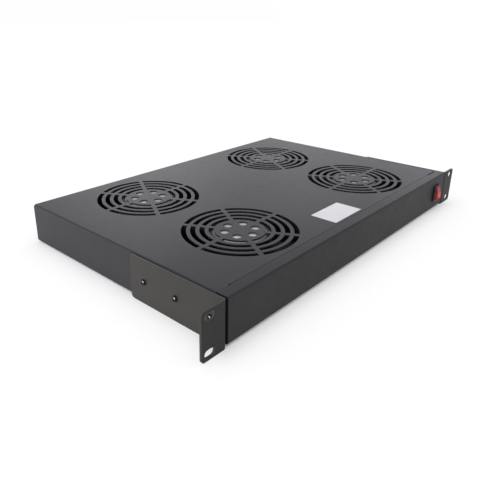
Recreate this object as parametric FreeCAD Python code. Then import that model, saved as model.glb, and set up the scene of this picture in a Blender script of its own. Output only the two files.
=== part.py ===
import FreeCAD, Part
import math
import os
from FreeCAD import Rotation, Vector

# Rack fan tray, one rack unit high, with four 120 mm axial fans.
# Frame: X to the right seen from the front, Y to the rear, Z up.  The origin is the middle of the four
# rack slots, on the back face of the ears, which is the face that seats on the rack rails.
# All sizes are in millimetres.

# ---- Driving dimensions ---------------------------------------------------------------------------

# Rack interface
RACK_WIDTH = 482.6
SLOT_SPAN_X = 465.1
SLOT_SPAN_Z = 31.75
SLOT_LENGTH = 11.0
SLOT_WIDTH = 7.0

# Ears: folded brackets screwed to the sides
EAR_THICK = 2.0
EAR_HEIGHT = 44.0
EAR_REACH = 114.0
EAR_STANDOFF = 1.3
EAR_BEND_IN = 1.2
EAR_CORNER = 3.5
EAR_SCREW_FIRST = 15.7
EAR_SCREW_PITCH = 40.0
EAR_SCREW_COUNT = 3

# Housing
BODY_WIDTH = 424.4
BODY_DEPTH = 286.4
BODY_LOW = -20.0
BODY_HIGH = 22.4
SHEET = 1.2
BEND_IN = 0.8
COVER_BEND_IN = 0.4
PLAY = 0.2
SEAM_FROM_FRONT = 12.8
SEAM_GAP = 0.35
SEAM_ENDS = (-198.0, 207.0)
RELIEF_X = 197.0
RELIEF_DOT_R = 1.1
RELIEF_SLIT = (19.0, 1.5)
REAR_LIP = 9.0
SIDE_LIP = 10.8
SIDE_TAB = 25.8
CHANNEL_FLANGE = 12.0

# Stamped grille, one above each fan
GRILLE_RINGS = 4
GRILLE_FIRST_R = 25.5
GRILLE_RING_PITCH = 9.0
GRILLE_SLOT = 5.1
GRILLE_SPOKES = 6
GRILLE_SPOKE_WIDTH = 4.5
GRILLE_HOLE_R = 4.7
GRILLE_HOLE_CIRCLE_R = 15.9

# Fans
FAN_PITCH_X = 221.0
FAN_PITCH_Y = 136.8
FAN_MID_FROM_FRONT = 143.9
FAN_SIZE = 119.5
FAN_DEPTH = 38.0
FAN_FLANGE = 4.5
FAN_CORNER_R = 5.0
FAN_BORE_R = 57.8
FAN_WALL_R = 59.5
FAN_MOUTH = 1.1
FAN_SCREW_HALF = 52.4
MOTOR_BASE_R = 30.0
MOTOR_BASE_DEPTH = 5.0
CAP_R = 27.3
CAP_THICK = 1.4
CAP_SEAT = 0.85
CAP_EDGE = 0.8
STRUT_COUNT = 3
STRUT_WIDTH = 8.0
STRUT_DEPTH = 4.0
TUBE_R = 7.0
BEARING_R = 5.0
BEARING_HEIGHT = 4.0
SHAFT_R = 2.0
SHAFT_PLAY = 0.03
HUB_R = 31.0
HUB_WALL = 2.0
HUB_HEIGHT = 27.0
HUB_CLEAR_LOW = 3.0
STATOR_R = 28.4
STATOR_HEIGHT = 12.0
COIL_OUT_R = 24.0
COIL_IN_R = 10.0
COIL_HEIGHT = 5.0
BLADE_COUNT = 5
BLADE_TIP_R = 56.4
BLADE_THICK = 1.8
BLADE_ROOT_CHORD = 31.0
BLADE_TIP_CHORD = 47.0
BLADE_ROOT_PITCH = 42.0
BLADE_TIP_PITCH = 25.0
BLADE_CAMBER = 0.10

# Rocker switch
SWITCH_X = 188.0
SWITCH_Z = 0.9
BEZEL_WIDTH = 15.0
BEZEL_HEIGHT = 21.6
BEZEL_THICK = 2.0
BEZEL_CORNER = 1.5
SWITCH_BODY_WIDTH = 12.8
SWITCH_BODY_HEIGHT = 19.4
SWITCH_BODY_DEPTH = 17.0
SWITCH_WELL_WIDTH = 11.9
SWITCH_WELL_HEIGHT = 18.4
SWITCH_WELL_DEPTH = 8.5
ROCKER_WIDTH = 11.2
ROCKER_HALF = 8.8
ROCKER_FACE = 6.4
ROCKER_TILT = 11.0
ROCKER_HEEL = 0.5
ROCKER_WAIST = (2.0, 3.5)
ROCKER_RIDGE = 0.5
ROCKER_ROUND = 1.5
ROCKER_PIVOT_IN = 3.0
ROCKER_PIN_R = 1.5
ROCKER_PIN_PLAY = 0.05
SWITCH_LUG = 8.0
SWITCH_LUG_PITCH = 6.0

# Power inlet
INLET_X = 0.0
INLET_Z = -1.0
INLET_FLANGE = (50.0, 22.4, 2.2)
INLET_BODY = (27.0, 19.6, 16.0)
INLET_WELL = (24.2, 16.4, 15.0)
INLET_SCREW_SPAN = 40.0
INLET_PINS = ((-7.0, -2.0, 12.5), (7.0, -2.0, 12.5), (0.0, 2.0, 13.5))
INLET_TAB = 7.0

# Screws: head radius, head height, shank radius; the cross is in parts of the head's radius and height
EAR_SCREW = (2.9, 1.6, 1.5)
BASE_SCREW = (2.8, 1.2, 1.5)
FAN_SCREW = (4.2, 1.6, 2.0)
SMALL_SCREW = (2.8, 1.9, 1.5)
PAN_EDGE = 0.5
RECESS_ARM = 0.55
RECESS_WIDTH = 0.3
RECESS_DEPTH = 0.6
NUT_FLATS = 5.5
NUT_HEIGHT = 2.4
EAR_WASHER_R = 4.5
REAR_SCREW_X = (-180.0, -70.0, 70.0, 180.0)
FRONT_SCREW_X = (-195.0, -65.0, 65.0, 195.0)
BACK_SCREW_X = (-195.0, 0.0, 195.0)

# Terminal block on the floor
BLOCK_SIZE = (30.0, 30.0, 15.0)
BLOCK_SHOULDER = 8.2
BLOCK_STEP = 4.0
BLOCK_PITCH = 9.0
BLOCK_WELL_R = 2.2
BLOCK_WELL_DEPTH = 5.0

# Label on the cover
LABEL_SIZE = (51.0, 29.7, 0.15)
LABEL_CENTRE_X = -6.7
LABEL_FROM_FRONT = 30.7

# ---- Derived places -------------------------------------------------------------------------------

Y_FRONT = -EAR_THICK
Y_REAR = Y_FRONT + BODY_DEPTH
HALF_WIDTH = BODY_WIDTH / 2
BEND_OUT = BEND_IN + SHEET
COVER_BEND_OUT = COVER_BEND_IN + SHEET
X_EAR = HALF_WIDTH + EAR_STANDOFF
Y_PANEL_BACK = Y_FRONT + SHEET
Y_SEAM = Y_FRONT + SEAM_FROM_FRONT
Y_REAR_PANEL = Y_REAR - SHEET
Y_FRONT_SCREWS = Y_FRONT + 7.0
Y_BACK_SCREWS = Y_REAR_PANEL - 6.0
Z_COVER_UNDER = BODY_HIGH - SHEET
Z_FLOOR_LOW = BODY_LOW + SHEET
Z_FLOOR = Z_FLOOR_LOW + SHEET
Z_FAN_TOP = Z_FLOOR + FAN_DEPTH
Z_MIDDLE = (BODY_LOW + BODY_HIGH) / 2
Y_FAN_MID = Y_FRONT + FAN_MID_FROM_FRONT
EAR_SCREW_Y = [Y_FRONT + EAR_SCREW_FIRST + i * EAR_SCREW_PITCH for i in range(EAR_SCREW_COUNT)]
X_LIP_OUT = HALF_WIDTH - SHEET - PLAY
FAN_CENTRES = [
    (side * FAN_PITCH_X / 2, Y_FAN_MID + row * FAN_PITCH_Y / 2)
    for row in (-1, 1)
    for side in (-1, 1)
]
X_AXIS = Vector(1, 0, 0)
Y_AXIS = Vector(0, 1, 0)
Z_AXIS = Vector(0, 0, 1)

os.makedirs("parts", exist_ok=True)


# ---- General helpers ------------------------------------------------------------------------------


def save(name, shape):
    """Write one node's solids to its own STEP file."""
    shape.exportStep(os.path.join("parts", name + ".step"))


def block(x, y, z):
    """A box from three (low, high) pairs."""
    return Part.makeBox(x[1] - x[0], y[1] - y[0], z[1] - z[0], Vector(x[0], y[0], z[0]))


def rod(radius, start, axis, length):
    """A cylinder from a start point along an axis."""
    return Part.makeCylinder(radius, length, start, axis)


def disc(radius, x, y, z):
    """An upright cylinder between two heights."""
    return rod(radius, Vector(x, y, z[0]), Z_AXIS, z[1] - z[0])


def prism(points, direction):
    """A straight-sided solid from a closed outline."""
    return Part.Face(Part.makePolygon(list(points) + [points[0]])).extrude(direction)


def round_edges(shape, radius, wanted):
    """Round the edges whose middle point passes the test."""
    edges = [edge for edge in shape.Edges if wanted(edge.CenterOfMass, edge)]
    return shape.makeFillet(radius, edges)


def along(edge, axis):
    """True for a straight edge that runs along the axis."""
    if not isinstance(edge.Curve, Part.Line):
        return False
    return abs(edge.Curve.Direction.dot(axis)) > 0.999


def rounded_path(points, radii):
    """Edges along a list of points, with an arc of the given radius at each inner point."""
    edges = []
    last = points[0]
    for i in range(1, len(points) - 1):
        before = (points[i] - points[i - 1]).normalize()
        after = (points[i + 1] - points[i]).normalize()
        turn = before.getAngle(after)
        reach = radii[i - 1] * math.tan(turn / 2)
        start = points[i] - before * reach
        end = points[i] + after * reach
        inward = (after - before).normalize()
        depth = radii[i - 1] * (1 / math.cos(turn / 2) - 1)
        edges.append(Part.makeLine(last, start))
        edges.append(Part.Arc(start, points[i] + inward * depth, end).toShape())
        last = end
    edges.append(Part.makeLine(last, points[-1]))
    return edges


def folded_strip(points, thick, inside_radius, place, direction):
    """A folded sheet: its face line is given, the metal lies to the left of it, and bends are round."""
    flat = [Vector(u, v, 0) for u, v in points]
    count = len(flat)
    headings = [(flat[i + 1] - flat[i]).normalize() for i in range(count - 1)]
    lefts = [Vector(-h.y, h.x, 0) for h in headings]
    offset = [flat[0] + lefts[0] * thick]
    near = []
    far = []
    for i in range(1, count - 1):
        turn = headings[i - 1].cross(headings[i]).z
        near.append(inside_radius + thick if turn > 0 else inside_radius)
        far.append(inside_radius if turn > 0 else inside_radius + thick)
        bisector = (lefts[i - 1] + lefts[i]).normalize()
        offset.append(flat[i] + bisector * (thick / bisector.dot(lefts[i])))
    offset.append(flat[-1] + lefts[-1] * thick)
    edges = rounded_path([place(p) for p in flat], near)
    edges += rounded_path([place(p) for p in reversed(offset)], list(reversed(far)))
    edges.append(Part.makeLine(place(flat[-1]), place(offset[-1])))
    edges.append(Part.makeLine(place(offset[0]), place(flat[0])))
    wire = Part.Wire(Part.__sortEdges__(edges))
    return Part.Face(wire).extrude(direction)


def mirrored(shape):
    """The same shape on the other side of the tray's middle plane."""
    return shape.mirror(Vector(0, 0, 0), X_AXIS)


def cross_recess(top, outward, arm, width, depth):
    """Cutter for the cross in a screw's head."""
    side = X_AXIS if abs(outward.x) < 0.5 else Y_AXIS
    other = outward.cross(side)
    w = width / 2
    outline = []
    for i in range(4):
        turn = Rotation(outward, 90.0 * i)
        for p, q in ((arm, -w), (arm, w), (w, w)):
            outline.append(top + turn.multVec(side * p + other * q))
    return prism(outline, outward * -depth)


def screw(size, seat, outward, shank):
    """A pan-head screw: the head stands outward of the seat point, the shank goes the other way."""
    head_r, head_h, shank_r = size
    top = seat + outward * head_h
    head = rod(head_r, seat, outward, head_h)
    rim = [edge for edge in head.Edges if (edge.CenterOfMass - top).Length < 0.01]
    head = head.makeChamfer(head_h * PAN_EDGE, rim)
    body = head.fuse(rod(shank_r, seat, outward * -1, shank)).removeSplitter()
    recess = cross_recess(top, outward, head_r * RECESS_ARM, head_r * RECESS_WIDTH, head_h * RECESS_DEPTH)
    return body.cut(recess)


def nut(flats, height, bore, seat, direction):
    """A hexagon nut that stands from its seat along a direction."""
    side = X_AXIS if abs(direction.x) < 0.5 else Y_AXIS
    corners = []
    for i in range(6):
        turn = Rotation(direction, 60.0 * i + 30.0)
        corners.append(seat + turn.multVec(side) * (flats / math.sqrt(3)))
    return prism(corners, direction * height).cut(rod(bore, seat, direction, height))


# ---- Folded sheet housing -------------------------------------------------------------------------


def ring_slot(x, y, inner, outer, start, z):
    """One arc slot between two spokes; its ends run parallel to the spokes."""
    half = GRILLE_SPOKE_WIDTH / 2
    sector = 2 * math.pi / GRILLE_SPOKES

    def at(radius, end):
        trim = math.asin(half / radius)
        angle = start + trim if end == 0 else start + sector - trim
        return angle

    def point(radius, angle):
        return Vector(x + radius * math.cos(angle), y + radius * math.sin(angle), z[0])

    def arc(radius):
        first = at(radius, 0)
        last = at(radius, 1)
        return Part.Arc(point(radius, first), point(radius, (first + last) / 2), point(radius, last))

    edges = [arc(inner).toShape(), arc(outer).toShape()]
    for end in (0, 1):
        edges.append(Part.makeLine(point(inner, at(inner, end)), point(outer, at(outer, end))))
    wire = Part.Wire(Part.__sortEdges__(edges))
    return Part.Face(wire).extrude(Vector(0, 0, z[1] - z[0]))


def grille_cutters(x, y, z):
    """All the slots and holes of one stamped grille."""
    cutters = []
    sector = 2 * math.pi / GRILLE_SPOKES
    for ring in range(GRILLE_RINGS):
        inner = GRILLE_FIRST_R + ring * GRILLE_RING_PITCH
        for spoke in range(GRILLE_SPOKES):
            cutters.append(ring_slot(x, y, inner, inner + GRILLE_SLOT, spoke * sector, z))
    for i in range(GRILLE_SPOKES):
        angle = (i + 0.5) * sector
        hole_x = x + GRILLE_HOLE_CIRCLE_R * math.cos(angle)
        hole_y = y + GRILLE_HOLE_CIRCLE_R * math.sin(angle)
        cutters.append(disc(GRILLE_HOLE_R, hole_x, hole_y, z))
    return cutters


def top_cover():
    """Top sheet with its two side walls and a short lip down the rear, stamped with the grilles."""
    y_start = Y_SEAM + SEAM_GAP / 2
    y_bend = Y_REAR - COVER_BEND_OUT
    outline = [
        (HALF_WIDTH, BODY_LOW),
        (HALF_WIDTH, BODY_HIGH),
        (-HALF_WIDTH, BODY_HIGH),
        (-HALF_WIDTH, BODY_LOW),
    ]
    y_touch = Y_SEAM - SEAM_GAP / 2
    shell = folded_strip(
        outline, SHEET, COVER_BEND_IN, lambda p: Vector(p.x, y_touch, p.y), Y_AXIS * (y_bend - y_touch)
    )
    seam_y = (y_touch - 1.0, y_start)
    shell = shell.cut(block(SEAM_ENDS, seam_y, (Z_COVER_UNDER - 1.0, BODY_HIGH + 1.0)))
    wall_x = (HALF_WIDTH - SHEET, HALF_WIDTH)
    wall = block(wall_x, (Y_PANEL_BACK, Y_REAR), (BODY_LOW, BODY_HIGH - BEND_OUT))
    lip_half = HALF_WIDTH - COVER_BEND_OUT - PLAY
    lip = folded_strip(
        [(Y_REAR, BODY_HIGH - REAR_LIP), (Y_REAR, BODY_HIGH), (y_bend - 1.0, BODY_HIGH)],
        SHEET,
        COVER_BEND_IN,
        lambda p: Vector(-lip_half, p.x, p.y),
        X_AXIS * (2 * lip_half),
    )
    shell = shell.fuse([wall, mirrored(wall), lip]).removeSplitter()
    cutters = []
    for x, y in FAN_CENTRES:
        cutters += grille_cutters(x, y, (Z_COVER_UNDER - 1.0, BODY_HIGH + 1.0))
    hole_r = EAR_SCREW[2] + 0.15
    for y in EAR_SCREW_Y:
        cutters.append(rod(hole_r, Vector(-HALF_WIDTH - 1.0, y, 0), X_AXIS, BODY_WIDTH + 2.0))
    for x in REAR_SCREW_X:
        seat = Vector(x, Y_REAR + 1.0, rear_screw_z())
        cutters.append(rod(SMALL_SCREW[2] + 0.1, seat, Y_AXIS * -1, SHEET + 1.5))
    return shell.cut(cutters)


def rear_screw_z():
    """Height of the screws in the cover's rear lip."""
    return BODY_HIGH - BEND_OUT - (REAR_LIP - BEND_OUT) / 2


def front_panel():
    """Front channel: plain face, a top return that meets the cover at the seam, and a bottom return."""
    y_seam = Y_SEAM - SEAM_GAP / 2
    outline = [
        (y_seam, BODY_HIGH),
        (Y_FRONT, BODY_HIGH),
        (Y_FRONT, BODY_LOW),
        (Y_FRONT + CHANNEL_FLANGE, BODY_LOW),
    ]
    panel = folded_strip(
        outline, SHEET, BEND_IN, lambda p: Vector(-HALF_WIDTH, p.x, p.y), X_AXIS * BODY_WIDTH
    )
    notch = block(
        (X_LIP_OUT, HALF_WIDTH + 1.0),
        (Y_PANEL_BACK, Y_FRONT + CHANNEL_FLANGE + 1.0),
        (BODY_LOW - 1.0, BODY_LOW + BEND_OUT + 0.1),
    )
    opening = block(
        (SWITCH_X - SWITCH_BODY_WIDTH / 2 - 0.1, SWITCH_X + SWITCH_BODY_WIDTH / 2 + 0.1),
        (Y_FRONT - 1.0, Y_PANEL_BACK + 1.0),
        (SWITCH_Z - SWITCH_BODY_HEIGHT / 2 - 0.2, SWITCH_Z + SWITCH_BODY_HEIGHT / 2 + 0.2),
    )
    z_cut = (Z_COVER_UNDER - 1.0, BODY_HIGH + 1.0)
    relief_dot = disc(RELIEF_DOT_R, -RELIEF_X, y_seam, z_cut)
    slit_x = (RELIEF_X - RELIEF_SLIT[0] / 2, RELIEF_X + RELIEF_SLIT[0] / 2)
    relief_slit = block(slit_x, (y_seam - RELIEF_SLIT[1], y_seam + 1.0), z_cut)
    cutters = [notch, mirrored(notch), opening, relief_dot, relief_slit]
    for x in FRONT_SCREW_X:
        cutters.append(base_screw_hole(x, Y_FRONT_SCREWS))
    return panel.cut(cutters)


def rear_panel():
    """Rear channel between the side walls, with the cut-out for the power inlet."""
    z_top = Z_COVER_UNDER - PLAY
    outline = [
        (Y_REAR_PANEL - CHANNEL_FLANGE, BODY_LOW),
        (Y_REAR_PANEL, BODY_LOW),
        (Y_REAR_PANEL, z_top),
        (Y_REAR_PANEL - CHANNEL_FLANGE + 3.0, z_top),
    ]
    panel = folded_strip(
        outline, SHEET, BEND_IN, lambda p: Vector(-X_LIP_OUT, p.x, p.y), X_AXIS * (2 * X_LIP_OUT)
    )
    y_cut = (Y_REAR_PANEL - SHEET - 1.0, Y_REAR_PANEL + 1.0)
    body_w, body_h, _ = INLET_BODY
    opening = block(
        (INLET_X - body_w / 2 - 0.2, INLET_X + body_w / 2 + 0.2),
        y_cut,
        (INLET_Z - body_h / 2 - 0.2, INLET_Z + body_h / 2 + 0.2),
    )
    cutters = [opening]
    for side in (-1, 1):
        start = Vector(INLET_X + side * INLET_SCREW_SPAN / 2, y_cut[0], INLET_Z)
        cutters.append(rod(SMALL_SCREW[2] + 0.1, start, Y_AXIS, SHEET + 2.0))
    for x in REAR_SCREW_X:
        start = Vector(x, y_cut[0], rear_screw_z())
        cutters.append(rod(SMALL_SCREW[2], start, Y_AXIS, SHEET + 2.0))
    for x in BACK_SCREW_X:
        cutters.append(base_screw_hole(x, Y_BACK_SCREWS))
    return panel.cut(cutters)


def base_screw_places():
    """Where the floor is screwed to the front and rear channels."""
    front = [(x, Y_FRONT_SCREWS) for x in FRONT_SCREW_X]
    return front + [(x, Y_BACK_SCREWS) for x in BACK_SCREW_X]


def base_screw_hole(x, y):
    """Cutter through a channel's bottom return and the floor."""
    return disc(BASE_SCREW[2] + 0.1, x, y, (BODY_LOW - 1.0, Z_FLOOR + 1.0))


def base_plate():
    """Floor with a stamped grille under each fan and lips up the sides, higher behind the ears."""
    z_tab = Z_FLOOR_LOW + SIDE_TAB
    outline = [
        (-X_LIP_OUT, z_tab),
        (-X_LIP_OUT, Z_FLOOR_LOW),
        (X_LIP_OUT, Z_FLOOR_LOW),
        (X_LIP_OUT, z_tab),
    ]
    y_start = Y_PANEL_BACK + BEND_IN + PLAY
    y_end = Y_REAR_PANEL - SHEET - BEND_IN - PLAY
    plate = folded_strip(
        outline, SHEET, BEND_IN, lambda p: Vector(p.x, y_start, p.y), Y_AXIS * (y_end - y_start)
    )
    z_low_lip = (Z_FLOOR_LOW + SIDE_LIP, z_tab + 1.0)
    tab_end = EAR_SCREW_Y[-1] + 10.0
    lip_x = (X_LIP_OUT - SHEET - 1.0, X_LIP_OUT + 1.0)
    trim = block(lip_x, (tab_end, y_end + 1.0), z_low_lip)
    cutters = [trim, mirrored(trim)]
    z_cut = (Z_FLOOR_LOW - 1.0, Z_FLOOR + 1.0)
    for x, y in FAN_CENTRES:
        cutters += grille_cutters(x, y, z_cut)
        for screw_x, screw_y in fan_screw_places(x, y):
            cutters.append(disc(FAN_SCREW[2] + 0.2, screw_x, screw_y, z_cut))
    for x, y in base_screw_places():
        cutters.append(base_screw_hole(x, y))
    hole_r = EAR_SCREW[2] + 0.15
    for y in EAR_SCREW_Y:
        cutters.append(rod(hole_r, Vector(-HALF_WIDTH, y, 0), X_AXIS, BODY_WIDTH))
    return plate.cut(cutters)


def right_ear():
    """Right rack ear: side leg beside the cover, front leg turned outward with two rack slots."""
    outline = [
        (X_EAR, Y_FRONT + EAR_REACH),
        (X_EAR, Y_FRONT),
        (RACK_WIDTH / 2, Y_FRONT),
    ]
    z_low = -EAR_HEIGHT / 2
    ear = folded_strip(
        outline, EAR_THICK, EAR_BEND_IN, lambda p: Vector(p.x, p.y, z_low), Z_AXIS * EAR_HEIGHT
    )

    def is_outer_corner(centre, edge):
        at_tip = centre.x > RACK_WIDTH / 2 - 0.1 and along(edge, Y_AXIS)
        at_rear = centre.y > Y_FRONT + EAR_REACH - 0.1 and along(edge, X_AXIS)
        return at_tip or at_rear

    ear = round_edges(ear, EAR_CORNER, is_outer_corner)
    cutters = []
    for side in (-1, 1):
        slot_z = side * SLOT_SPAN_Z / 2
        cutters.append(obround(SLOT_SPAN_X / 2, slot_z))
    for y in EAR_SCREW_Y:
        start = Vector(X_EAR - 1.0, y, 0)
        cutters.append(rod(EAR_SCREW[2] + 0.15, start, X_AXIS, EAR_THICK + 2.0))
    return ear.cut(cutters)


def obround(x, z):
    """Cutter for one rack slot, with round ends, lying along X."""
    half = (SLOT_LENGTH - SLOT_WIDTH) / 2
    radius = SLOT_WIDTH / 2
    y_cut = (Y_FRONT - 1.0, 1.0)
    middle = block((x - half, x + half), y_cut, (z - radius, z + radius))
    ends = [rod(radius, Vector(x + s * half, y_cut[0], z), Y_AXIS, y_cut[1] - y_cut[0]) for s in (-1, 1)]
    return middle.fuse(ends).removeSplitter()


# ---- Fans -----------------------------------------------------------------------------------------


def fan_screw_places(x, y):
    """The four screw places of a fan."""
    return [(x + i * FAN_SCREW_HALF, y + j * FAN_SCREW_HALF) for i in (-1, 1) for j in (-1, 1)]


def fan_frame(x, y):
    """Die-cast frame: two square flanges joined by the air duct, motor base on struts, bearing tube."""
    half = FAN_SIZE / 2
    plates = []
    for z in ((Z_FLOOR, Z_FLOOR + FAN_FLANGE), (Z_FAN_TOP - FAN_FLANGE, Z_FAN_TOP)):
        plate = block((x - half, x + half), (y - half, y + half), z)
        plates.append(round_edges(plate, FAN_CORNER_R, lambda centre, edge: along(edge, Z_AXIS)))
    duct = disc(FAN_WALL_R, x, y, (Z_FLOOR, Z_FAN_TOP))
    frame = duct.fuse(plates).cut(disc(FAN_BORE_R, x, y, (Z_FLOOR - 1.0, Z_FAN_TOP + 1.0)))
    wide = FAN_BORE_R + FAN_MOUTH
    for z, direction in ((Z_FLOOR, Z_AXIS), (Z_FAN_TOP, Z_AXIS * -1)):
        frame = frame.cut(Part.makeCone(wide, FAN_BORE_R, FAN_FLANGE, Vector(x, y, z), direction))
    base_low = Z_FAN_TOP - MOTOR_BASE_DEPTH
    additions = [disc(MOTOR_BASE_R, x, y, (base_low, Z_FAN_TOP))]
    for i in range(STRUT_COUNT):
        strut = block(
            (x + MOTOR_BASE_R - 2.0, x + FAN_WALL_R - 0.3),
            (y - STRUT_WIDTH / 2, y + STRUT_WIDTH / 2),
            (Z_FAN_TOP - STRUT_DEPTH, Z_FAN_TOP),
        )
        strut.rotate(Vector(x, y, 0), Z_AXIS, i * 360.0 / STRUT_COUNT)
        additions.append(strut)
    additions.append(disc(TUBE_R, x, y, (tube_low(), base_low + 1.0)))
    frame = frame.fuse(additions).removeSplitter()
    cutters = [
        disc(CAP_R, x, y, (Z_FAN_TOP - CAP_SEAT, Z_FAN_TOP + 1.0)),
        disc(BEARING_R, x, y, (tube_low() - 1.0, base_low)),
    ]
    for screw_x, screw_y in fan_screw_places(x, y):
        cutters.append(disc(FAN_SCREW[2], screw_x, screw_y, (Z_FLOOR - 1.0, Z_FLOOR + FAN_FLANGE + 1.0)))
    return frame.cut(cutters)


def tube_low():
    """Lower end of the bearing tube, just above the rotor's boss."""
    return hub_low() + HUB_WALL + 4.0


def hub_low():
    """Lower face of the rotor's hub."""
    return Z_FLOOR + HUB_CLEAR_LOW


def motor_cap(x, y):
    """Pressed cap over the motor base, with a rolled edge."""
    z_low = Z_FAN_TOP - CAP_SEAT
    cap = disc(CAP_R, x, y, (z_low, z_low + CAP_THICK))
    rim = [edge for edge in cap.Edges if edge.CenterOfMass.z > z_low + CAP_THICK - 0.01]
    return cap.makeChamfer(CAP_EDGE, rim)


def stator(x, y):
    """Laminated core on the bearing tube."""
    middle = (hub_low() + Z_FAN_TOP - MOTOR_BASE_DEPTH) / 2
    z = (middle - STATOR_HEIGHT / 2, middle + STATOR_HEIGHT / 2)
    return disc(STATOR_R, x, y, z).cut(disc(TUBE_R, x, y, z))


def coils(x, y):
    """Winding heads above and below the core."""
    middle = (hub_low() + Z_FAN_TOP - MOTOR_BASE_DEPTH) / 2
    top = middle + STATOR_HEIGHT / 2
    bottom = middle - STATOR_HEIGHT / 2
    rings = []
    for z in ((top, top + COIL_HEIGHT), (bottom - COIL_HEIGHT, bottom)):
        rings.append(disc(COIL_OUT_R, x, y, z).cut(disc(COIL_IN_R, x, y, z)))
    return Part.makeCompound(rings)


def bearings(x, y):
    """Two ball bearings, drawn as closed rings, at the ends of the tube."""
    top = Z_FAN_TOP - MOTOR_BASE_DEPTH
    rings = []
    for low in (tube_low(), top - 1.0 - BEARING_HEIGHT):
        z = (low, low + BEARING_HEIGHT)
        rings.append(disc(BEARING_R, x, y, z).cut(disc(SHAFT_R + SHAFT_PLAY, x, y, z)))
    return Part.makeCompound(rings)


def shaft(x, y):
    """Rotor shaft, pressed into the hub's boss."""
    return disc(SHAFT_R, x, y, (hub_low() + 0.6, Z_FAN_TOP - MOTOR_BASE_DEPTH - 0.6))


def blade_section(radius, chord, pitch):
    """Closed outline of a cambered blade at one radius, in the plane across the radius."""
    camber = chord * BLADE_CAMBER
    lean = math.radians(pitch)

    def place(along_chord, rise):
        tangent = along_chord * math.cos(lean) - rise * math.sin(lean)
        height = along_chord * math.sin(lean) + rise * math.cos(lean)
        return Vector(radius, tangent, height)

    half = chord / 2
    edge = BLADE_THICK * 0.3
    lower = Part.Arc(place(-half, -edge), place(0, -camber - BLADE_THICK / 2), place(half, -edge))
    upper = Part.Arc(place(half, edge), place(0, -camber + BLADE_THICK / 2), place(-half, edge))
    ends = [
        Part.makeLine(place(half, -edge), place(half, edge)),
        Part.makeLine(place(-half, edge), place(-half, -edge)),
    ]
    return Part.Wire(Part.__sortEdges__([lower.toShape(), upper.toShape()] + ends))


def rotor_at_origin():
    """Hub cup with twisted blades, around the Z axis, with the hub's lower face at z = 0."""
    root = blade_section(HUB_R - 8.0, BLADE_ROOT_CHORD, BLADE_ROOT_PITCH)
    tip = blade_section(BLADE_TIP_R + 3.0, BLADE_TIP_CHORD, BLADE_TIP_PITCH)
    blade = Part.makeLoft([root, tip], True, True)
    blade.translate(Vector(0, 0, HUB_HEIGHT / 2 + 1.0))
    band = disc(BLADE_TIP_R, 0, 0, (0.6, HUB_HEIGHT - 0.4)).cut(
        disc(HUB_R - HUB_WALL / 2, 0, 0, (0, HUB_HEIGHT))
    )
    blade = blade.common(band)
    cup = disc(HUB_R, 0, 0, (0, HUB_HEIGHT))
    cup = round_edges(cup, 3.0, lambda centre, edge: centre.z < 0.01)
    cup = cup.cut(disc(HUB_R - HUB_WALL, 0, 0, (HUB_WALL, HUB_HEIGHT + 1.0)))
    boss = disc(SHAFT_R + 3.5, 0, 0, (HUB_WALL - 0.5, HUB_WALL + 3.0))
    blades = []
    for i in range(BLADE_COUNT):
        turned = blade.copy()
        turned.rotate(Vector(0, 0, 0), Z_AXIS, i * 360.0 / BLADE_COUNT)
        blades.append(turned)
    rotor = cup.fuse([boss] + blades).removeSplitter()
    return rotor.cut(disc(SHAFT_R, 0, 0, (0.6, HUB_HEIGHT)))


# ---- Rocker switch --------------------------------------------------------------------------------


def pivot_y():
    """Depth of the rocker's pivot."""
    return Y_FRONT + ROCKER_PIVOT_IN


def switch_housing():
    """Bezel and body, with the well that the rocker swings in."""
    half_w = BEZEL_WIDTH / 2
    half_h = BEZEL_HEIGHT / 2
    bezel = block(
        (SWITCH_X - half_w, SWITCH_X + half_w),
        (Y_FRONT - BEZEL_THICK, Y_FRONT),
        (SWITCH_Z - half_h, SWITCH_Z + half_h),
    )
    bezel = round_edges(bezel, BEZEL_CORNER, lambda centre, edge: along(edge, Y_AXIS))
    y_face = Y_FRONT - BEZEL_THICK
    bezel = round_edges(bezel, 0.5, lambda centre, edge: centre.y < y_face + 0.01)
    body = block(
        (SWITCH_X - SWITCH_BODY_WIDTH / 2, SWITCH_X + SWITCH_BODY_WIDTH / 2),
        (Y_FRONT, Y_FRONT + SWITCH_BODY_DEPTH),
        (SWITCH_Z - SWITCH_BODY_HEIGHT / 2, SWITCH_Z + SWITCH_BODY_HEIGHT / 2),
    )
    well = block(
        (SWITCH_X - SWITCH_WELL_WIDTH / 2, SWITCH_X + SWITCH_WELL_WIDTH / 2),
        (y_face - 1.0, y_face + SWITCH_WELL_DEPTH),
        (SWITCH_Z - SWITCH_WELL_HEIGHT / 2, SWITCH_Z + SWITCH_WELL_HEIGHT / 2),
    )
    start = Vector(SWITCH_X - SWITCH_BODY_WIDTH, pivot_y(), SWITCH_Z)
    pivot = rod(ROCKER_PIN_R + ROCKER_PIN_PLAY, start, X_AXIS, 2 * SWITCH_BODY_WIDTH)
    return bezel.fuse(body).removeSplitter().cut([well, pivot])


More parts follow.
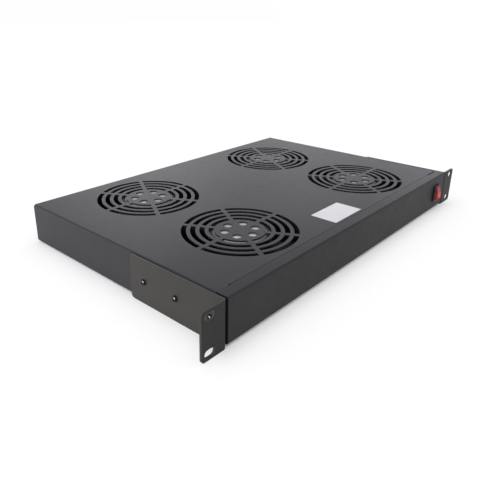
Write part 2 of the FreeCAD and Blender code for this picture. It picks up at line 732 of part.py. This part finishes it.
def switch_rocker():
    """Rocker with a slightly raised middle and a pivot pin each side, at rest with its top end pressed in."""
    tilt = math.radians(ROCKER_TILT)

    def levelled(depth, height):
        """From the pressed position back to the middle position, about the pivot."""
        y = depth * math.cos(tilt) - height * math.sin(tilt)
        z = depth * math.sin(tilt) + height * math.cos(tilt)
        return (y, z)

    corner = levelled(-ROCKER_FACE, ROCKER_HALF)
    heel = levelled(-ROCKER_HEEL, ROCKER_HALF)
    half = [corner, heel, ROCKER_WAIST]
    ridge = corner[0] - ROCKER_RIDGE
    outline = [(ridge, 0.0)] + half
    outline += [(y, -z) for y, z in reversed(half)]
    x_low = SWITCH_X - ROCKER_WIDTH / 2
    points = [Vector(x_low, pivot_y() + y, SWITCH_Z + z) for y, z in outline]
    rocker = prism(points, X_AXIS * ROCKER_WIDTH)
    front = pivot_y() + ridge

    def is_face_edge(centre, edge):
        between = abs(centre.x - SWITCH_X) < 0.1 and abs(centre.z - SWITCH_Z) < 0.1
        return centre.y < front + ROCKER_RIDGE + 0.1 and not between

    rocker = round_edges(rocker, ROCKER_ROUND, is_face_edge)
    pin_start = Vector(SWITCH_X - SWITCH_BODY_WIDTH / 2 + 0.1, pivot_y(), SWITCH_Z)
    pin = rod(ROCKER_PIN_R, pin_start, X_AXIS, SWITCH_BODY_WIDTH - 0.2)
    rocker = rocker.fuse(pin).removeSplitter()
    rocker.rotate(Vector(SWITCH_X, pivot_y(), SWITCH_Z), X_AXIS, -ROCKER_TILT)
    return rocker


def switch_terminals():
    """Three blades out of the back of the switch."""
    y_back = Y_FRONT + SWITCH_BODY_DEPTH
    blades = []
    for z in (-SWITCH_LUG_PITCH, 0.0, SWITCH_LUG_PITCH):
        blades.append(
            block(
                (SWITCH_X - 2.4, SWITCH_X + 2.4),
                (y_back, y_back + SWITCH_LUG),
                (SWITCH_Z + z - 0.4, SWITCH_Z + z + 0.4),
            )
        )
    return Part.makeCompound(blades)


# ---- Power inlet ----------------------------------------------------------------------------------


def chamfered_outline(width, height, cut, y):
    """Rectangle with its two upper corners cut off, in a plane across Y."""
    w = width / 2
    h = height / 2
    points = [(-w, -h), (w, -h), (w, h - cut), (w - cut, h), (-w + cut, h), (-w, h - cut)]
    return [Vector(INLET_X + x, y, INLET_Z + z) for x, z in points]


def power_inlet():
    """Three-pole appliance inlet: flange outside the rear panel, body inside, open well."""
    flange_w, flange_h, flange_t = INLET_FLANGE
    body_w, body_h, body_d = INLET_BODY
    well_w, well_h, well_d = INLET_WELL
    flange = block(
        (INLET_X - flange_w / 2, INLET_X + flange_w / 2),
        (Y_REAR_PANEL, Y_REAR_PANEL + flange_t),
        (INLET_Z - flange_h / 2, INLET_Z + flange_h / 2),
    )
    flange = round_edges(flange, 6.0, lambda centre, edge: along(edge, Y_AXIS))
    body = prism(
        chamfered_outline(body_w, body_h, 4.5, Y_REAR_PANEL - body_d), Y_AXIS * (body_d + 0.5)
    )
    face = Y_REAR_PANEL + flange_t
    well = prism(chamfered_outline(well_w, well_h, 4.0, face - well_d), Y_AXIS * (well_d + 1.0))
    cutters = [well]
    for side in (-1, 1):
        start = Vector(INLET_X + side * INLET_SCREW_SPAN / 2, Y_REAR_PANEL - 1.0, INLET_Z)
        cutters.append(rod(SMALL_SCREW[2] + 0.1, start, Y_AXIS, flange_t + 2.0))
    inlet = flange.fuse(body).removeSplitter().cut(cutters)
    return inlet.cut(inlet_pins())


def inlet_tab_y():
    """Inner end of the inlet's tabs."""
    return Y_REAR_PANEL - INLET_BODY[2] - INLET_TAB


def inlet_pins():
    """Line, neutral and earth pins, with their tabs inside the tray."""
    face = Y_REAR_PANEL + INLET_FLANGE[2]
    floor = face - INLET_WELL[2]
    pins = []
    for x, z, reach in INLET_PINS:
        pins.append(
            block(
                (INLET_X + x - 1.0, INLET_X + x + 1.0),
                (inlet_tab_y(), floor + reach),
                (INLET_Z + z - 2.0, INLET_Z + z + 2.0),
            )
        )
    return Part.makeCompound(pins)


# ---- Fasteners and label --------------------------------------------------------------------------


def ear_screws():
    """Three screws through each ear."""
    x_seat = X_EAR + EAR_THICK
    shank = EAR_THICK + EAR_STANDOFF + 2 * SHEET + PLAY + NUT_HEIGHT + 1.0
    right = [screw(EAR_SCREW, Vector(x_seat, y, 0), X_AXIS, shank) for y in EAR_SCREW_Y]
    return Part.makeCompound(right + [mirrored(item) for item in right])


def ear_washers():
    """Washers that hold each ear off the cover."""
    right = []
    for y in EAR_SCREW_Y:
        start = Vector(HALF_WIDTH, y, 0)
        washer = rod(EAR_WASHER_R, start, X_AXIS, EAR_STANDOFF)
        right.append(washer.cut(rod(EAR_SCREW[2] + 0.15, start, X_AXIS, EAR_STANDOFF)))
    return Part.makeCompound(right + [mirrored(item) for item in right])


def ear_nuts():
    """Nuts on the inside of the base plate's tabs."""
    x_seat = X_LIP_OUT - SHEET
    seats = [Vector(x_seat, y, 0) for y in EAR_SCREW_Y]
    right = [nut(NUT_FLATS, NUT_HEIGHT, EAR_SCREW[2], seat, X_AXIS * -1) for seat in seats]
    return Part.makeCompound(right + [mirrored(item) for item in right])


def fan_screws():
    """Four screws up through the floor into each fan's lower flange."""
    shank = SHEET + FAN_FLANGE + 0.5
    down = Z_AXIS * -1
    items = []
    for x, y in FAN_CENTRES:
        for screw_x, screw_y in fan_screw_places(x, y):
            items.append(screw(FAN_SCREW, Vector(screw_x, screw_y, Z_FLOOR_LOW), down, shank))
    return Part.makeCompound(items)


def base_screws():
    """Screws up through the channels' bottom returns into the floor."""
    shank = 2 * SHEET + 1.0
    down = Z_AXIS * -1
    places = base_screw_places()
    return Part.makeCompound([screw(BASE_SCREW, Vector(x, y, BODY_LOW), down, shank) for x, y in places])


def rear_cover_screws():
    """Screws through the cover's rear lip into the rear panel."""
    z = rear_screw_z()
    shank = 2 * SHEET + 2.5
    return Part.makeCompound([screw(SMALL_SCREW, Vector(x, Y_REAR, z), Y_AXIS, shank) for x in REAR_SCREW_X])


def inlet_screws():
    """Two screws through the inlet's flange."""
    y_seat = Y_REAR_PANEL + INLET_FLANGE[2]
    shank = INLET_FLANGE[2] + SHEET + NUT_HEIGHT + 1.0
    places = [INLET_X + side * INLET_SCREW_SPAN / 2 for side in (-1, 1)]
    return Part.makeCompound([screw(SMALL_SCREW, Vector(x, y_seat, INLET_Z), Y_AXIS, shank) for x in places])


def inlet_nuts():
    """Nuts for the inlet's screws, inside the rear panel."""
    y_seat = Y_REAR_PANEL - SHEET
    items = []
    for side in (-1, 1):
        seat = Vector(INLET_X + side * INLET_SCREW_SPAN / 2, y_seat, INLET_Z)
        items.append(nut(NUT_FLATS, NUT_HEIGHT, SMALL_SCREW[2], seat, Y_AXIS * -1))
    return Part.makeCompound(items)


def cover_label():
    """Blank self-adhesive label on the cover."""
    width, depth, thick = LABEL_SIZE
    y = Y_FRONT + LABEL_FROM_FRONT
    return block(
        (LABEL_CENTRE_X - width / 2, LABEL_CENTRE_X + width / 2),
        (y - depth / 2, y + depth / 2),
        (BODY_HIGH, BODY_HIGH + thick),
    )


# ---- Terminal block -------------------------------------------------------------------------------


def terminal_block():
    """Stepped terminal block on the floor between the fans."""
    y = (Y_FAN_MID - BLOCK_SIZE[1] / 2, Y_FAN_MID + BLOCK_SIZE[1] / 2)
    shoulder = Z_FLOOR + BLOCK_SHOULDER
    top = Z_FLOOR + BLOCK_SIZE[2]
    points = [
        (y[0], Z_FLOOR),
        (y[1], Z_FLOOR),
        (y[1], shoulder),
        (y[1] - BLOCK_STEP, shoulder),
        (y[1] - BLOCK_STEP, top),
        (y[0] + BLOCK_STEP, top),
        (y[0] + BLOCK_STEP, shoulder),
        (y[0], shoulder),
    ]
    half = BLOCK_SIZE[0] / 2
    body = prism([Vector(-half, v, w) for v, w in points], X_AXIS * BLOCK_SIZE[0])
    z = (top - BLOCK_WELL_DEPTH, top + 1.0)
    return body.cut([disc(BLOCK_WELL_R, x, y, z) for x, y in block_wells()])


def block_wells():
    """Places of the terminal screws."""
    return [(i * BLOCK_PITCH, Y_FAN_MID + j * BLOCK_PITCH * 0.6) for i in (-1, 0, 1) for j in (-1, 1)]


def terminal_screws():
    """Grub screws in the wells of the terminal block."""
    z = Z_FLOOR + BLOCK_SIZE[2] - BLOCK_WELL_DEPTH
    return Part.makeCompound([disc(BLOCK_WELL_R - 0.2, x, y, (z, z + 3.0)) for x, y in block_wells()])


# ---- Build ----------------------------------------------------------------------------------------

save("top_cover", top_cover())
save("front_panel", front_panel())
save("rear_panel", rear_panel())
save("base_plate", base_plate())
ear = right_ear()
save("right_rack_ear", ear)
save("left_rack_ear", mirrored(ear))

rotor = rotor_at_origin()
for number, (fan_x, fan_y) in enumerate(FAN_CENTRES, start=1):
    save(f"fan_frame_{number}", fan_frame(fan_x, fan_y))
    save(f"fan_motor_cap_{number}", motor_cap(fan_x, fan_y))
    save(f"fan_stator_{number}", stator(fan_x, fan_y))
    save(f"fan_coils_{number}", coils(fan_x, fan_y))
    save(f"fan_bearings_{number}", bearings(fan_x, fan_y))
    save(f"fan_shaft_{number}", shaft(fan_x, fan_y))
    placed = rotor.copy()
    placed.translate(Vector(fan_x, fan_y, hub_low()))
    save(f"fan_rotor_{number}", placed)

save("switch_housing", switch_housing())
save("switch_rocker", switch_rocker())
save("switch_terminals", switch_terminals())
save("power_inlet", power_inlet())
save("inlet_pins", inlet_pins())
save("ear_screws", ear_screws())
save("ear_nuts", ear_nuts())
save("fan_screws", fan_screws())
save("rear_cover_screws", rear_cover_screws())
save("inlet_screws", inlet_screws())
save("inlet_nuts", inlet_nuts())
save("cover_label", cover_label())
save("terminal_block", terminal_block())
save("terminal_screws", terminal_screws())
save("ear_washers", ear_washers())
save("base_screws", base_screws())
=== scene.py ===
import bpy
import math
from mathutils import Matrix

# A one-unit rack fan tray in black powder-coated steel, in a plain white studio.
# Lengths are in metres, in the part's own frame: X to the right seen from the front, Y to the rear, Z up.
# Nothing is modelled here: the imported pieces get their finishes, and a floor, a world and a camera are added.

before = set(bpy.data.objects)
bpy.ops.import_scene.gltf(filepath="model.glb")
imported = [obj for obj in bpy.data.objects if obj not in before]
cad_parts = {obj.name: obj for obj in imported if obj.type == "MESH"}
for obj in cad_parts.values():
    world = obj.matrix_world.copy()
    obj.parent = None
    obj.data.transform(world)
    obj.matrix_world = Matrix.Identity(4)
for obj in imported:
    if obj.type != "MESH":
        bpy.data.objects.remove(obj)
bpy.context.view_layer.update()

# ---- Places on the part ---------------------------------------------------------------------------

BODY_HALF_WIDTH = 0.2122
FAN_HALF_PITCH = (0.1105, 0.0684)
FAN_ROWS_MID_Y = 0.1419
ROCKER_MID = (0.1880, 0.0009)

# The gap between a side wall and its ear, where the coat is darkened with painted shade: where it starts and
# ends in X beyond the wall, and in Y
EAR_GAP_START = (-0.0003, -0.0001)
EAR_GAP_END = (0.0015, 0.0017)
EAR_REAR_Y = 0.1135
EAR_REAR_BLEND = 0.002

# The ear screws: the first one's Y and their pitch; the painted highlight's shift in Y and Z, and its radii
EAR_SCREW_FIRST_Y = 0.0137
EAR_SCREW_PITCH = 0.0400
GLINT_SHIFT = (-0.0004, 0.0009)
GLINT_RADII = (0.0007, 0.0013)

# The fan cap: radii of the foil's edge and of the rim, each over a short blend
CAP_FOIL_EDGE = (0.0224, 0.0227)
CAP_RIM_EDGE = (0.0254, 0.0257)

# The rocker's painted shade: the upper part in Z above its middle, the side edges in X from its middle, and the
# well in Y
ROCKER_UPPER_SHADE = (0.0004, 0.0030)
ROCKER_EDGE_SHADE = (0.0030, 0.0060)
ROCKER_WELL_SHADE = (-0.0050, -0.0015)

# Powder coat roughness: level faces, and what is added on upright faces and in the ears' gap
COAT_ROUGH = (0.29, 0.33)
UPRIGHT_DULL = 0.16
UPRIGHT_ROUGH = 0.47
GAP_DULL = 0.40

# ---- Places in the studio -------------------------------------------------------------------------

FLOOR_Z = -0.0220
FLOOR_SIZE = 14.0
FLOOR_MID_Y = 0.1430
FLOOR_LIFT = 0.60
FLOOR_LIFT_EDGE = (-0.010, 0.025)

# Each glow: azimuth from +Y towards +X, elevation, outer and inner radius, all in degrees; strength
GLOWS = (
    (38.5, 18.5, 12.5, 3.0, 0.56),
    (34.0, 25.0, 9.0, 2.0, 0.12),
    (72.0, 13.0, 24.0, 6.0, 0.25),
    (22.0, 21.0, 13.0, 3.0, -0.15),
    (65.0, 18.5, 9.0, 2.0, -0.36),
    (57.0, 26.0, 9.0, 2.0, 0.10),
    (-85.0, 25.0, 60.0, 20.0, 1.20),
)

CAMERA_PLACE = (-0.46306, -0.22347, 0.22493)
CAMERA_DIP = 0.36838
CAMERA_TURN = -0.82085
CAMERA_LENS = 37.22
CAMERA_SHIFT = (0.0673, -0.0884)


# ---- Node helpers ---------------------------------------------------------------------------------


def new_material(name):
    """An empty node material with its shader; returns the material, the node tree and the shader."""
    material = bpy.data.materials.new(name)
    material.use_nodes = True
    tree = material.node_tree
    shader = tree.nodes["Principled BSDF"]
    return material, tree, shader


def noise(tree, scale, detail=2.0, stretch=(1.0, 1.0, 1.0)):
    """A noise field in object coordinates."""
    coords = tree.nodes.new("ShaderNodeTexCoord")
    mapping = tree.nodes.new("ShaderNodeMapping")
    mapping.inputs["Scale"].default_value = stretch
    field = tree.nodes.new("ShaderNodeTexNoise")
    field.inputs["Scale"].default_value = scale
    field.inputs["Detail"].default_value = detail
    tree.links.new(coords.outputs["Object"], mapping.inputs["Vector"])
    tree.links.new(mapping.outputs["Vector"], field.inputs["Vector"])
    return field.outputs["Fac"]


def ranged(tree, source, low, high):
    """The source's middle range, mapped to two values."""
    node = tree.nodes.new("ShaderNodeMapRange")
    node.inputs["From Min"].default_value = 0.3
    node.inputs["From Max"].default_value = 0.7
    node.inputs["To Min"].default_value = low
    node.inputs["To Max"].default_value = high
    tree.links.new(source, node.inputs["Value"])
    return node.outputs["Result"]


def mixed_colour(tree, source, dark, light):
    """A colour between two, led by the source."""
    ramp = tree.nodes.new("ShaderNodeValToRGB")
    ramp.color_ramp.elements[0].position = 0.3
    ramp.color_ramp.elements[0].color = (*dark, 1.0)
    ramp.color_ramp.elements[1].position = 0.7
    ramp.color_ramp.elements[1].color = (*light, 1.0)
    tree.links.new(source, ramp.inputs["Fac"])
    return ramp.outputs["Color"]


def bumped(tree, shader, height, distance):
    """Small relief on the surface."""
    bump = tree.nodes.new("ShaderNodeBump")
    bump.inputs["Strength"].default_value = 1.0
    bump.inputs["Distance"].default_value = distance
    tree.links.new(height, bump.inputs["Height"])
    tree.links.new(bump.outputs["Normal"], shader.inputs["Normal"])


def maths(tree, operation, first, second=0.0):
    """One arithmetic node; each input is a socket or a number."""
    node = tree.nodes.new("ShaderNodeMath")
    node.operation = operation
    for slot, value in zip(node.inputs, (first, second)):
        if isinstance(value, (int, float)):
            slot.default_value = value
        else:
            tree.links.new(value, slot)
    return node.outputs["Value"]


def offset_from(tree, source, middle):
    """How far the source is from a middle value, either way."""
    return maths(tree, "ABSOLUTE", maths(tree, "SUBTRACT", source, middle))


def distance(tree, first, second):
    """The length of two offsets at right angles."""
    squares = [maths(tree, "MULTIPLY", value, value) for value in (first, second)]
    return maths(tree, "SQRT", maths(tree, "ADD", *squares))


def stepped(tree, source, low, high, start=0.0, end=1.0):
    """A smooth change from start to end as the source goes from low to high."""
    node = tree.nodes.new("ShaderNodeMapRange")
    node.interpolation_type = "SMOOTHSTEP"
    node.inputs["From Min"].default_value = low
    node.inputs["From Max"].default_value = high
    node.inputs["To Min"].default_value = start
    node.inputs["To Max"].default_value = end
    tree.links.new(source, node.inputs["Value"])
    return node.outputs["Result"]


def between(tree, source, rise, fall):
    """One between the two blends and nothing outside them."""
    return maths(tree, "SUBTRACT", stepped(tree, source, *rise), stepped(tree, source, *fall))


def object_axes(tree, output="Object"):
    """Object coordinates, or the object's own normal, as separate X, Y and Z sockets."""
    coords = tree.nodes.new("ShaderNodeTexCoord")
    split = tree.nodes.new("ShaderNodeSeparateXYZ")
    tree.links.new(coords.outputs[output], split.inputs["Vector"])
    return split.outputs


def blended(tree, factor, first, second):
    """A colour that goes from the first to the second; each is a socket or a colour."""
    node = tree.nodes.new("ShaderNodeMix")
    node.data_type = "RGBA"
    tree.links.new(factor, node.inputs["Factor"])
    for slot, value in ((node.inputs["A"], first), (node.inputs["B"], second)):
        if isinstance(value, tuple):
            slot.default_value = (*value, 1.0)
        else:
            tree.links.new(value, slot)
    return node.outputs["Result"]


# ---- Finishes -------------------------------------------------------------------------------------


def finish(name, dark, light, rough, metallic=0.0, grain=900.0, relief=0.00004, stretch=(1, 1, 1), level=0.5):
    """A finish with uneven tone, uneven gloss and a fine grain."""
    material, tree, shader = new_material(name)
    wide = noise(tree, 22.0, 4.0)
    fine = noise(tree, grain, 3.0, stretch)
    tree.links.new(mixed_colour(tree, wide, dark, light), shader.inputs["Base Color"])
    tree.links.new(ranged(tree, fine, rough[0], rough[1]), shader.inputs["Roughness"])
    shader.inputs["Metallic"].default_value = metallic
    shader.inputs["Specular IOR Level"].default_value = level
    bumped(tree, shader, fine, relief)
    return material


def powder_coat(name, dark, light, level, front_rough, front_shade=0.0):
    """Fine-textured powder coat: satin on level faces, duller on upright ones, with painted shade on front
    faces (as much as front_shade) and in the gap behind the ears.
    """
    material, tree, shader = new_material(name)
    _, normal_y, normal_z = object_axes(tree, "Normal")
    upright = stepped(tree, maths(tree, "ABSOLUTE", normal_z), 0.25, 0.85, 1.0, 0.0)
    # front faces: rougher, and darkened by front_shade as painted shade
    front = stepped(tree, normal_y, -0.85, -0.25, 1.0, 0.0)
    x, y, _ = object_axes(tree)
    # the band between a side wall and its ear, where painted shade darkens the coat
    beyond = maths(tree, "SUBTRACT", maths(tree, "ABSOLUTE", x), BODY_HALF_WIDTH)
    in_gap = between(tree, beyond, EAR_GAP_START, EAR_GAP_END)
    before_end = stepped(tree, y, EAR_REAR_Y - EAR_REAR_BLEND, EAR_REAR_Y, 1.0, 0.0)
    painted_gap_shade = maths(tree, "MULTIPLY", in_gap, before_end)
    shade = maths(tree, "MAXIMUM", maths(tree, "MULTIPLY", front, front_shade), painted_gap_shade)
    wide = noise(tree, 14.0, 3.0)
    grain = noise(tree, 1300.0, 3.0)
    mottle = noise(tree, 90.0, 2.0)
    cloudy = maths(tree, "MULTIPLY", maths(tree, "ADD", wide, grain), 0.5)
    tone = mixed_colour(tree, cloudy, dark, light)
    # painted shade: the tone goes towards near-black on front faces and in the ears' gap
    tree.links.new(blended(tree, shade, tone, (0.002, 0.002, 0.0025)), shader.inputs["Base Color"])
    shader.inputs["Specular IOR Level"].default_value = level
    even = ranged(tree, mottle, *COAT_ROUGH)
    dull = maths(tree, "MULTIPLY", upright, UPRIGHT_DULL)
    dull = maths(tree, "ADD", dull, maths(tree, "MULTIPLY", front, front_rough - UPRIGHT_ROUGH))
    dull = maths(tree, "ADD", dull, maths(tree, "MULTIPLY", painted_gap_shade, GAP_DULL))
    tree.links.new(maths(tree, "ADD", even, dull), shader.inputs["Roughness"])
    bumped(tree, shader, grain, 0.00006)
    return material


def ear_screw_steel():
    """Black screws, each with a painted highlight on its cross: a bright metal spot set off-centre where the
    glint falls.
    """
    material, tree, shader = new_material("ear_screw_steel")
    _, y, z = object_axes(tree)
    place = maths(tree, "DIVIDE", maths(tree, "SUBTRACT", y, EAR_SCREW_FIRST_Y), EAR_SCREW_PITCH)
    off = maths(tree, "SUBTRACT", place, maths(tree, "ROUND", place))
    along = maths(tree, "SUBTRACT", maths(tree, "MULTIPLY", off, EAR_SCREW_PITCH), GLINT_SHIFT[0])
    above = maths(tree, "SUBTRACT", z, GLINT_SHIFT[1])
    painted_glint = stepped(tree, distance(tree, along, above), *GLINT_RADII, 1.0, 0.0)
    cloud = noise(tree, 900.0, 2.0)
    black = mixed_colour(tree, cloud, (0.004, 0.004, 0.004), (0.008, 0.008, 0.008))
    # painted highlight: bright metal where the glint falls, black elsewhere
    tree.links.new(blended(tree, painted_glint, black, (0.90, 0.89, 0.88)), shader.inputs["Base Color"])
    tree.links.new(painted_glint, shader.inputs["Metallic"])
    tree.links.new(ranged(tree, cloud, 0.36, 0.46), shader.inputs["Roughness"])
    shader.inputs["Specular IOR Level"].default_value = 0.15
    bumped(tree, shader, cloud, 0.00001)
    return material


def fan_cap():
    """Silver foil on the cap's middle, a near-black ring around it and a dull metal rim."""
    material, tree, shader = new_material("silver_cap")
    x, y, _ = object_axes(tree)
    across = maths(tree, "SUBTRACT", maths(tree, "ABSOLUTE", x), FAN_HALF_PITCH[0])
    deep = maths(tree, "SUBTRACT", offset_from(tree, y, FAN_ROWS_MID_Y), FAN_HALF_PITCH[1])
    radius = distance(tree, across, deep)
    ring = between(tree, radius, CAP_FOIL_EDGE, CAP_RIM_EDGE)
    foil = mixed_colour(tree, noise(tree, 60.0, 4.0), (0.60, 0.60, 0.61), (0.74, 0.74, 0.75))
    rim = stepped(tree, radius, *CAP_RIM_EDGE)
    metal = blended(tree, rim, foil, (0.20, 0.20, 0.21))
    tree.links.new(blended(tree, ring, metal, (0.02, 0.02, 0.02)), shader.inputs["Base Color"])
    scratch = noise(tree, 300.0, 3.0, (1.0, 8.0, 1.0))
    tree.links.new(ranged(tree, scratch, 0.30, 0.44), shader.inputs["Roughness"])
    tree.links.new(stepped(tree, ring, 0.2, 0.8, 0.7, 0.0), shader.inputs["Metallic"])
    bumped(tree, shader, scratch, 0.00002)
    return material


def rocker_plastic():
    """Deep red lens, with painted shade at its sides, where it goes into its well and on its upper part."""
    material, tree, shader = new_material("rocker_red")
    x, y, z = object_axes(tree)
    upper = stepped(tree, z, ROCKER_MID[1] + ROCKER_UPPER_SHADE[0], ROCKER_MID[1] + ROCKER_UPPER_SHADE[1])
    edge = stepped(tree, offset_from(tree, x, ROCKER_MID[0]), *ROCKER_EDGE_SHADE, 0.0, 0.55)
    deep = stepped(tree, y, *ROCKER_WELL_SHADE, 0.0, 0.9)
    cloud = noise(tree, 500.0, 3.0)
    red = mixed_colour(tree, cloud, (0.46, 0.050, 0.036), (0.54, 0.064, 0.046))
    # painted shade: the upper part turns darker red
    lens = blended(tree, upper, red, (0.26, 0.032, 0.044))
    shade = maths(tree, "MAXIMUM", edge, deep)
    # painted shade: near-black red at the sides and in the well
    tree.links.new(blended(tree, shade, lens, (0.05, 0.003, 0.004)), shader.inputs["Base Color"])
    shader.inputs["Specular IOR Level"].default_value = 0.15
    tree.links.new(ranged(tree, cloud, 0.24, 0.34), shader.inputs["Roughness"])
    bumped(tree, shader, cloud, 0.00001)
    return material


def paint(material, *nodes):
    """Give CAD nodes a material."""
    for name in nodes:
        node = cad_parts[name]
        node.data.materials.clear()
        node.data.materials.append(material)


coat = powder_coat("powder_coat", (0.0130, 0.0130, 0.0155), (0.0230, 0.0230, 0.0260), 0.36, 0.55)
# A darker copy of the powder coat for the front panel: painted shade on its front face.
front_coat_shaded = powder_coat("powder_coat_front_shaded", (0.0095, 0.0095, 0.0108), (0.0195, 0.0195, 0.0208), 0.30, 0.58)
# A lighter, warmer copy of the powder coat for the ears: painted light on their sides, and painted shade on
# their front flanges (front_shade 0.64).
ear_coat_painted_light = powder_coat("powder_coat_ears_painted_light", (0.0270, 0.0250, 0.0218), (0.0380, 0.0355, 0.0312), 0.34, 0.60, 0.64)
screw_black = ear_screw_steel()
casting = finish(
    "cast_frame", (0.004, 0.004, 0.004), (0.008, 0.008, 0.008), (0.40, 0.60), 0.0, 700.0, 0.00008, level=0.25
)
blade_plastic = finish("fan_plastic", (0.004, 0.004, 0.004), (0.007, 0.007, 0.007), (0.35, 0.50), level=0.25)
silver = fan_cap()
steel = finish("bright_steel", (0.26, 0.26, 0.25), (0.36, 0.35, 0.34), (0.22, 0.36), 1.0, 1200.0, 0.00002)
core = finish(
    "core_steel", (0.10, 0.10, 0.11), (0.16, 0.16, 0.17), (0.40, 0.60), 0.9, 600.0, 0.00004, (1, 1, 40)
)
copper = finish(
    "winding", (0.09, 0.036, 0.016), (0.15, 0.060, 0.026), (0.30, 0.45), 0.8, 900.0, 0.00010, (1, 1, 20)
)
black_plastic = finish("switch_plastic", (0.006, 0.006, 0.007), (0.011, 0.011, 0.012), (0.34, 0.48), level=0.3)
red_plastic = rocker_plastic()
ivory = finish("block_plastic", (0.62, 0.60, 0.52), (0.70, 0.68, 0.60), (0.40, 0.55))
film = finish("label_white", (0.58, 0.58, 0.58), (0.64, 0.64, 0.64), (0.38, 0.50), 0.0, 500.0, 0.00001)

paint(coat, "top_cover", "rear_panel", "base_plate")
paint(front_coat_shaded, "front_panel")
paint(ear_coat_painted_light, "left_rack_ear", "right_rack_ear")
for i in range(1, 5):
    paint(casting, f"fan_frame_{i}")
    paint(silver, f"fan_motor_cap_{i}")
    paint(core, f"fan_stator_{i}")
    paint(copper, f"fan_coils_{i}")
    paint(steel, f"fan_bearings_{i}", f"fan_shaft_{i}")
    paint(blade_plastic, f"fan_rotor_{i}")
paint(screw_black, "ear_screws")
paint(steel, "ear_washers", "ear_nuts", "fan_screws", "base_screws")
paint(steel, "rear_cover_screws", "inlet_screws", "inlet_nuts")
paint(steel, "inlet_pins", "switch_terminals", "terminal_screws")
paint(black_plastic, "switch_housing", "power_inlet")
paint(red_plastic, "switch_rocker")
paint(film, "cover_label")
paint(ivory, "terminal_block")


# ---- Studio ---------------------------------------------------------------------------------------


def studio_floor():
    """A wide pale floor that takes the object's shadow, darkest right under it."""
    bpy.ops.mesh.primitive_plane_add(size=FLOOR_SIZE, location=(0.0, 0.0, FLOOR_Z))
    floor = bpy.context.object
    floor.name = "studio_floor"
    material, tree, shader = new_material("floor_paper")
    colour = mixed_colour(tree, noise(tree, 3.0), (0.935, 0.935, 0.920), (0.950, 0.950, 0.935))
    tree.links.new(colour, shader.inputs["Base Color"])
    shader.inputs["Roughness"].default_value = 0.9
    shader.inputs["Specular IOR Level"].default_value = 0.0
    white = tree.nodes.new("ShaderNodeEmission")
    white.inputs["Color"].default_value = (1.0, 0.998, 0.985, 1.0)
    path = tree.nodes.new("ShaderNodeLightPath")
    seen = maths(tree, "MAXIMUM", path.outputs["Is Camera Ray"], path.outputs["Is Glossy Ray"])
    seen = maths(tree, "MAXIMUM", seen, path.outputs["Is Transmission Ray"])
    x, y, _ = object_axes(tree)
    aside = maths(tree, "SUBTRACT", maths(tree, "ABSOLUTE", x), BODY_HALF_WIDTH)
    along = maths(tree, "SUBTRACT", offset_from(tree, y, FLOOR_MID_Y), FLOOR_MID_Y)
    clear = stepped(tree, maths(tree, "MAXIMUM", aside, along), *FLOOR_LIFT_EDGE)
    lifted = tree.nodes.new("ShaderNodeMixShader")
    lift = maths(tree, "MULTIPLY", maths(tree, "MULTIPLY", seen, clear), FLOOR_LIFT)
    tree.links.new(lift, lifted.inputs["Fac"])
    tree.links.new(shader.outputs["BSDF"], lifted.inputs[1])
    tree.links.new(white.outputs["Emission"], lifted.inputs[2])
    tree.links.new(lifted.outputs["Shader"], tree.nodes["Material Output"].inputs["Surface"])
    floor.data.materials.append(material)


def toward(tree, direction, azimuth, elevation, outer, inner, strength):
    """Light added (or taken away, where negative) around one direction; angles in degrees."""
    az = math.radians(azimuth)
    el = math.radians(elevation)
    node = tree.nodes.new("ShaderNodeVectorMath")
    node.operation = "DOT_PRODUCT"
    node.inputs[1].default_value = (math.sin(az) * math.cos(el), math.cos(az) * math.cos(el), math.sin(el))
    tree.links.new(direction, node.inputs[0])
    edges = [math.cos(math.radians(angle)) for angle in (outer, inner)]
    return stepped(tree, node.outputs["Value"], *edges, 0.0, strength)


def studio_world():
    """A soft white studio: white low down, greyer walls above, a broad overhead panel and the glows."""
    world = bpy.data.worlds.new("studio")
    bpy.context.scene.world = world
    world.use_nodes = True
    tree = world.node_tree
    coords = tree.nodes.new("ShaderNodeTexCoord")
    split = tree.nodes.new("ShaderNodeSeparateXYZ")
    direction = coords.outputs["Generated"]
    tree.links.new(direction, split.inputs["Vector"])
    up = split.outputs["Z"]
    walls = stepped(tree, up, 0.12, 0.50, 1.0, 0.45)
    total = maths(tree, "ADD", walls, stepped(tree, up, 0.62, 0.85, 0.0, 0.85))
    for glow in GLOWS:
        total = maths(tree, "ADD", total, toward(tree, direction, *glow))
    sky = tree.nodes["Background"]
    sky.inputs["Color"].default_value = (0.99, 0.99, 1.035, 1.0)
    tree.links.new(total, sky.inputs["Strength"])


def camera():
    """The view from the front left and above."""
    data = bpy.data.cameras.new("camera")
    data.sensor_width = 36.0
    data.lens = CAMERA_LENS
    data.shift_x, data.shift_y = CAMERA_SHIFT
    data.clip_start = 0.01
    data.clip_end = 50.0
    item = bpy.data.objects.new("camera", data)
    bpy.context.collection.objects.link(item)
    item.location = CAMERA_PLACE
    item.rotation_euler = (math.pi / 2 - CAMERA_DIP, 0.0, CAMERA_TURN)
    bpy.context.scene.camera = item


studio_floor()
studio_world()
camera()

bpy.context.scene.view_settings.view_transform = "Standard"
